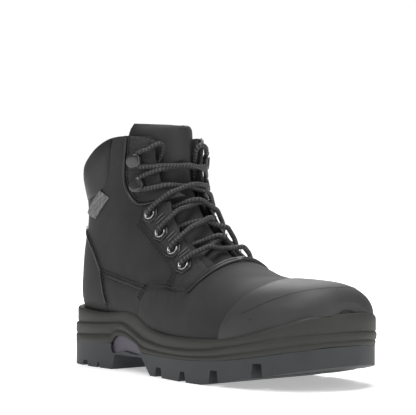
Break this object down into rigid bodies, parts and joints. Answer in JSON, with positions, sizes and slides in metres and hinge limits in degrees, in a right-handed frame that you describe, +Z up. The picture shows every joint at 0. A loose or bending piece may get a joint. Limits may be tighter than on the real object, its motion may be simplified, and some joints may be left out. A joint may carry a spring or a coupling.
{
  "type": "safety work boot",
  "caption": "Lace-up ankle work boot with a steel toe cap, lugged sole, eyelets and hooks, laced, right foot.",
  "frame": {"origin": "centre of the bounding box in plan, on the floor under the sole", "axes": "+X from heel to toe, +Y towards the inner side of the right foot, +Z up"},
  "size_m": [0.306, 0.112, 0.1975],
  "materials": {
    "nubuck": "matt buffed charcoal nubuck",
    "smooth_leather": "soft smooth black leather",
    "ballistic": "coarse woven black nylon",
    "mesh": "brushed black mesh lining",
    "foam": "open-cell foam",
    "tpu": "satin black moulded TPU",
    "pu": "matt dark grey foamed PU",
    "outsole_rubber": "matt blue-grey TPU/rubber",
    "shank_plastic": "satin purple-grey plastic",
    "board": "pressed fibre board",
    "textile_plate": "woven puncture-resistant textile",
    "cap_steel": "epoxy coated steel",
    "strip_rubber": "soft rubber strip",
    "stiffener": "thermoplastic stiffener",
    "insole": "felted top over moulded foam",
    "gunmetal": "satin gunmetal",
    "hook_metal": "satin black coated steel",
    "lace_cord": "round braided cord, black with light grey flecks",
    "aglet_plastic": "gloss black",
    "piping_leather": "gloss black piping",
    "label_woven": "grey woven label with plain stripes"
  },
  "bodies": {
    "boot": {"outsole": "outsole_rubber", "midsole": "pu", "shank_stabilizer": "shank_plastic", "insole_board": "board", "puncture_plate": "textile_plate", "steel_toe_cap": "cap_steel", "cap_edge_strip": "strip_rubber", "toe_lining": "mesh", "toe_bumper": "tpu", "eyelets_outer": "gunmetal", "eyelets_inner": "gunmetal", "hooks_outer": "hook_metal", "hooks_inner": "hook_metal", "hook_rivets_outer": "gunmetal", "hook_rivets_inner": "gunmetal", "vamp": "nubuck", "backstay": "nubuck", "collar": "smooth_leather", "foxing_outer": "nubuck", "foxing_inner": "nubuck", "quarter_outer": "nubuck", "quarter_inner": "nubuck", "eyestay_outer": "ballistic", "eyestay_inner": "ballistic", "hook_facing_outer": "ballistic", "hook_facing_inner": "ballistic", "throat_binding": "piping_leather", "backstay_piping_outer": "piping_leather", "backstay_piping_inner": "piping_leather", "facing_piping_outer": "piping_leather", "facing_piping_inner": "piping_leather", "side_label": "label_woven", "heel_counter": "stiffener", "heel_lining": "mesh", "collar_foam": "foam", "collar_lining": "mesh", "lining": "mesh", "lace": "lace_cord", "aglets": "aglet_plastic"},
    "tongue": {"tongue_body": "ballistic", "tongue_pad": "foam", "tongue_panel": "smooth_leather"},
    "footbed": {"footbed": "insole"}
  },
  "joints": [
    {"name": "tongue_fold", "type": "hinge", "parent": "boot", "child": "tongue", "pos_m": [0.045, 0, 0.072], "axis": [0, -1, 0], "range_deg": [0, 10]},
    {"name": "footbed_lift", "type": "hinge", "parent": "boot", "child": "footbed", "pos_m": [0.13, 0, 0.038], "axis": [0, 1, 0], "range_deg": [0, 4]}
  ]
}
